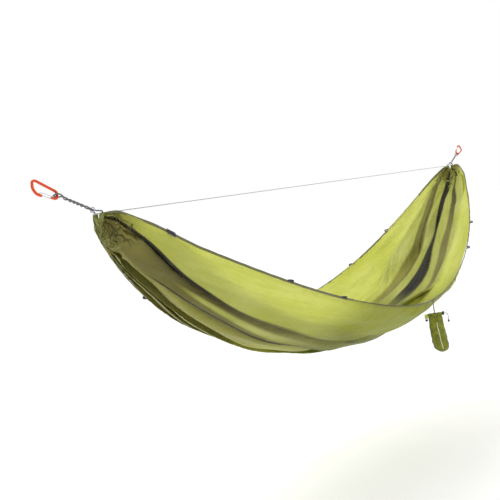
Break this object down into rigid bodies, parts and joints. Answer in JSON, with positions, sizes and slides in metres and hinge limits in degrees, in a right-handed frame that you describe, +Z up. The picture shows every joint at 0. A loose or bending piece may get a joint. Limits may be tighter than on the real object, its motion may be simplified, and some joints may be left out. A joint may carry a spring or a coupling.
{
  "type": "camping hammock",
  "caption": "Gathered-end camping hammock with carabiner suspension, structural ridgeline, gear loops and a stuff sack on its edge.",
  "frame": {"origin": "inner seat of the left carabiner's outer end, where the left anchor strap lies", "axes": "+X level along the hang line to the right anchor, -Y towards the edge that carries the stuff sack, +Z up"},
  "size_m": [3.3216, 0.7877, 0.8194],
  "materials": {
    "ripstop": "thin ripstop nylon, slightly glossy and translucent",
    "edging": "dark woven tape",
    "grey_cord": "braided cord",
    "pale_cord": "thin braided cord",
    "anodised_orange": "orange anodised, satin",
    "steel_wire": "bright stainless wire",
    "black_webbing": "woven nylon tape",
    "black_cord": "thin round braided cord",
    "black_plastic": "moulded, slightly glossy",
    "reflective_trim": "pale reflective tape",
    "sack_cloth": "ripstop nylon, two layers"
  },
  "bodies": {
    "carabiners": {"left_carabiner_body": "anodised_orange", "right_carabiner_body": "anodised_orange"},
    "left_gate": {"left_carabiner_gate": "steel_wire"},
    "right_gate": {"right_carabiner_gate": "steel_wire"},
    "hammock": {"bed": "ripstop", "near_edge_binding": "edging", "far_edge_binding": "edging", "left_end_channel": "ripstop", "right_end_channel": "ripstop", "left_rope_loop": "grey_cord", "right_rope_loop": "grey_cord", "left_ridgeline_ring": "pale_cord", "right_ridgeline_ring": "pale_cord", "left_ridgeline_knot": "pale_cord", "right_ridgeline_knot": "pale_cord", "ridgeline": "pale_cord", "edge_label": "black_webbing", "far_left_gear_loop_1": "black_webbing", "far_left_gear_loop_2": "black_webbing", "far_right_gear_loop_1": "black_webbing", "far_right_gear_loop_2": "black_webbing", "near_left_gear_loop_1": "black_webbing", "near_left_gear_loop_2": "black_webbing", "near_right_gear_loop_1": "black_webbing", "near_right_gear_loop_2": "black_webbing"},
    "sack_hanger": {"sack_strap": "edging"},
    "stuff_sack": {"sack_body": "sack_cloth", "sack_collar": "sack_cloth", "sack_drawcord": "black_cord", "sack_piping": "black_webbing", "sack_reflective_stripe": "reflective_trim", "sack_ear_tab": "ripstop", "sack_pull_tab": "black_plastic", "sack_cord_tail": "black_cord", "sack_cord_end": "black_plastic"},
    "cord_lock": {"cord_lock_body": "black_plastic", "cord_lock_spring": "steel_wire"},
    "cord_lock_button": {"cord_lock_plunger": "black_plastic"}
  },
  "joints": [
    {"name": "bed_swing", "type": "hinge", "parent": "carabiners", "child": "hammock", "pos_m": [0.07262, 0, -0.02846], "axis": [1, 0, 0], "range_deg": [-30, 30]},
    {"name": "left_gate_swing", "type": "hinge", "parent": "carabiners", "child": "left_gate", "pos_m": [0.05445, -0.00319, -0.0351], "axis": [-0.0883, 0.9703, -0.2252], "range_deg": [0, 24], "stiffness_Nm_per_rad": 0.4, "springref_deg": -11.46},
    {"name": "right_gate_swing", "type": "hinge", "parent": "carabiners", "child": "right_gate", "pos_m": [3.24077, 0.00319, -0.01124], "axis": [0.0883, 0.9703, -0.2252], "range_deg": [0, 24], "stiffness_Nm_per_rad": 0.4, "springref_deg": -11.46},
    {"name": "sack_fore_aft_swing", "type": "hinge", "parent": "hammock", "child": "sack_hanger", "pos_m": [1.65228, -0.344, -0.59719], "axis": [1, 0, 0], "range_deg": [-60, 6]},
    {"name": "sack_side_swing", "type": "hinge", "parent": "sack_hanger", "child": "stuff_sack", "pos_m": [1.65228, -0.345, -0.64209], "axis": [0, 1, 0], "range_deg": [-32, 32]},
    {"name": "cord_lock_slide", "type": "slide", "parent": "stuff_sack", "child": "cord_lock", "axis": [0.5299, -0.848, 0], "range_m": [0, 0.004]},
    {"name": "cord_lock_press", "type": "slide", "parent": "cord_lock", "child": "cord_lock_button", "axis": [0, 0, -1], "range_m": [0, 0.002], "stiffness_N_per_m": 120, "springref_m": -0.002, "deforming": ["cord_lock_spring"]}
  ]
}
